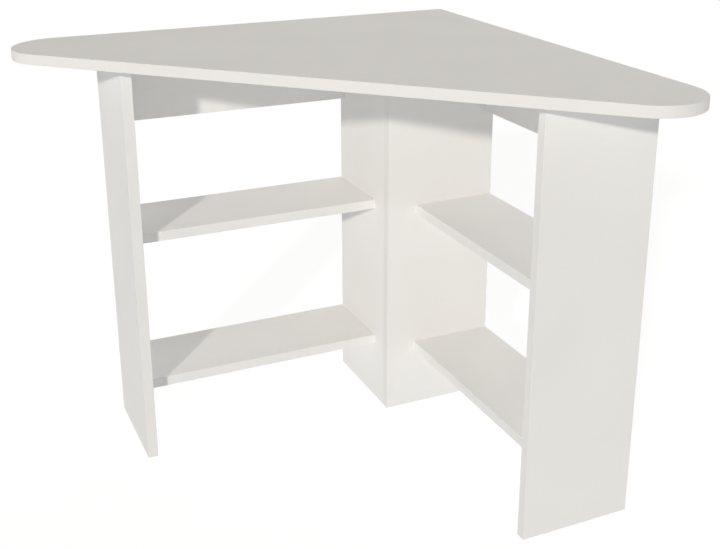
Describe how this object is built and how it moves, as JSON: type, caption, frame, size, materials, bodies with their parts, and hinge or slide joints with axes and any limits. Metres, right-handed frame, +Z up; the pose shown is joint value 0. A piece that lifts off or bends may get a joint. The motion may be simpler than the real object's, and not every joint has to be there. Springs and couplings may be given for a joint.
{
  "type": "corner desk",
  "caption": "Triangular corner desk with rounded front tips on two end panels and a corner column, with open shelves along both walls.",
  "frame": {"origin": "on the floor, under the middle of the worktop's bounding square", "axes": "+Z up; the back wall is at +Y and the side wall at +X, so the room's corner is at +X +Y; the seat is on the -X -Y side"},
  "size_m": [0.8499, 0.8499, 0.75],
  "materials": {
    "worktop_melamine": "fine-grained matt melamine on chipboard, warm white",
    "board_melamine": "fine-grained matt melamine on chipboard, warm white",
    "edge_band": "satin plastic edge band, warm white",
    "cap_plastic": "satin moulded plastic, white",
    "cam_metal": "tumbled zinc die casting",
    "bolt_steel": "zinc-plated steel",
    "beech": "plain beech"
  },
  "bodies": {
    "root": {"worktop": "worktop_melamine", "worktop_edge_band": "edge_band", "column_left_panel": "board_melamine", "column_right_panel": "board_melamine", "column_edge_band": "edge_band", "left_end_panel": "board_melamine", "left_end_panel_edge_band": "edge_band", "left_rail": "board_melamine", "left_rail_edge_band": "edge_band", "left_upper_shelf": "board_melamine", "left_upper_shelf_edge_band": "edge_band", "left_lower_shelf": "board_melamine", "left_lower_shelf_edge_band": "edge_band", "right_end_panel": "board_melamine", "right_end_panel_edge_band": "edge_band", "right_rail": "board_melamine", "right_rail_edge_band": "edge_band", "right_upper_shelf": "board_melamine", "right_upper_shelf_edge_band": "edge_band", "right_lower_shelf": "board_melamine", "right_lower_shelf_edge_band": "edge_band", "column_cams": "cam_metal", "column_cam_bolts": "bolt_steel", "column_dowels": "beech", "left_end_panel_cams": "cam_metal", "left_end_panel_cam_bolts": "bolt_steel", "left_end_panel_dowels": "beech", "left_end_panel_cam_caps": "cap_plastic", "right_end_panel_cams": "cam_metal", "right_end_panel_cam_bolts": "bolt_steel", "right_end_panel_dowels": "beech", "right_end_panel_cam_caps": "cap_plastic", "left_rail_cams": "cam_metal", "left_rail_cam_bolts": "bolt_steel", "left_rail_dowels": "beech", "right_rail_cams": "cam_metal", "right_rail_cam_bolts": "bolt_steel", "right_rail_dowels": "beech", "left_shelf_cams": "cam_metal", "left_shelf_cam_bolts": "bolt_steel", "left_shelf_dowels": "beech", "left_shelf_cam_caps": "cap_plastic", "right_shelf_cams": "cam_metal", "right_shelf_cam_bolts": "bolt_steel", "right_shelf_dowels": "beech", "right_shelf_cam_caps": "cap_plastic"}
  },
  "joints": []
}
